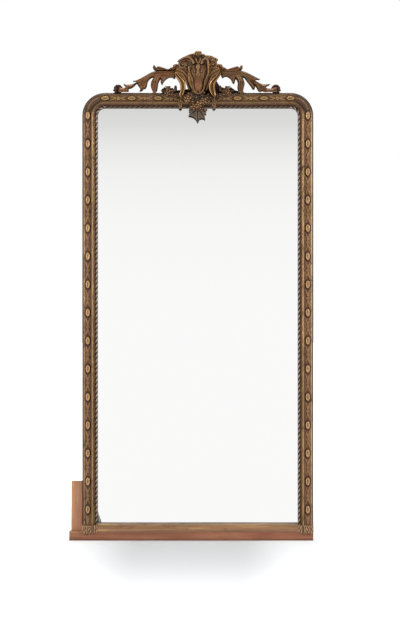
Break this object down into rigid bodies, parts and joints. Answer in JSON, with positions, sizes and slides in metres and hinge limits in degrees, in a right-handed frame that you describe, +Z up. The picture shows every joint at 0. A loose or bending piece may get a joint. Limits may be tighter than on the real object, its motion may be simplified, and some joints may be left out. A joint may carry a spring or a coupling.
{
  "type": "giltwood wall mirror",
  "caption": "Tall giltwood mirror with rounded top corners, cabochon frieze, rope sight edge and carved acanthus crest, on a base board, with hanging rings on its back.",
  "frame": {"origin": "on the middle line of the frame, in the plane of the mirror's face, on the floor that the base board stands on", "axes": "+X to the viewer's right, +Z up along the stiles, the front faces -Y"},
  "size_m": [1.0565, 0.1163, 2.1202],
  "materials": {
    "board_red": "worn red-brown paint on pine",
    "side_pine": "bare rubbed pine",
    "pine": "aged bare pine",
    "peg_wood": "aged oak pegs",
    "panel_pine": "aged thin pine boards",
    "gilt_moulding": "aged water gilding, rubbed to brown and red clay",
    "gilt_sill": "thin rubbed gilding, ochre",
    "gilt_foot": "worn gilding on carved wood",
    "gilt_rope": "dull darkened gilding",
    "gilt_cabochon": "burnished pale gilding",
    "gilt_leafage": "dull rubbed gilding with dark recesses",
    "crest_dark": "dark stained wood",
    "gilt_carving": "aged gilding with dark recesses",
    "gilt_bright": "burnished gilding, bright edges",
    "mirror": "silvered plate, light foxing at one corner",
    "screw_steel": "dull steel screws",
    "old_brass": "tarnished brass"
  },
  "bodies": {
    "root": {"base_board": "board_red", "side_board": "side_pine", "board_screws": "screw_steel", "carcass_stile_left": "pine", "carcass_stile_right": "pine", "carcass_top_rail": "pine", "carcass_bottom_rail": "pine", "cross_rails": "pine", "joint_pegs": "peg_wood", "setting_blocks": "pine", "mirror_plate": "mirror", "glazing_wedges": "pine", "back_panel_lower": "panel_pine", "back_panel_middle": "panel_pine", "back_panel_upper": "panel_pine", "panel_screws": "screw_steel", "stile_left": "gilt_moulding", "stile_right": "gilt_moulding", "top_rail": "gilt_moulding", "corner_left": "gilt_moulding", "corner_right": "gilt_moulding", "sill": "gilt_sill", "foot_block_left": "gilt_foot", "foot_block_right": "gilt_foot", "rope_left": "gilt_rope", "rope_top": "gilt_rope", "rope_right": "gilt_rope", "cabochons_left": "gilt_cabochon", "cabochons_top": "gilt_cabochon", "cabochons_right": "gilt_cabochon", "leafage_left": "gilt_leafage", "leafage_top": "gilt_leafage", "leafage_right": "gilt_leafage", "crest_board": "crest_dark", "crest_battens": "pine", "batten_screws": "screw_steel", "cartouche": "gilt_carving", "tongue_panel": "gilt_bright", "crest_shell": "gilt_carving", "ear_volute_left": "gilt_carving", "ear_volute_right": "gilt_carving", "c_scroll_left": "gilt_bright", "c_scroll_right": "gilt_bright", "acanthus_left": "gilt_carving", "acanthus_right": "gilt_carving", "top_leaf_left": "gilt_carving", "top_leaf_right": "gilt_carving", "knob_left": "gilt_carving", "knob_right": "gilt_carving", "sprig_left": "gilt_carving", "sprig_right": "gilt_carving", "garland": "gilt_carving", "pendant_leaf": "gilt_carving", "husk_drops": "gilt_carving", "hanger_strap_left": "old_brass", "hanger_strap_right": "old_brass", "hanger_screws": "screw_steel"},
    "ring_left": {"hanger_ring_left": "old_brass"},
    "ring_right": {"hanger_ring_right": "old_brass"}
  },
  "joints": [
    {"name": "ring_left_swing", "type": "hinge", "parent": "root", "child": "ring_left", "pos_m": [-0.48, 0.03706, 1.48], "axis": [1, 0, 0], "range_deg": [0, 165]},
    {"name": "ring_right_swing", "type": "hinge", "parent": "root", "child": "ring_right", "pos_m": [0.48, 0.03706, 1.48], "axis": [1, 0, 0], "range_deg": [0, 165]}
  ]
}
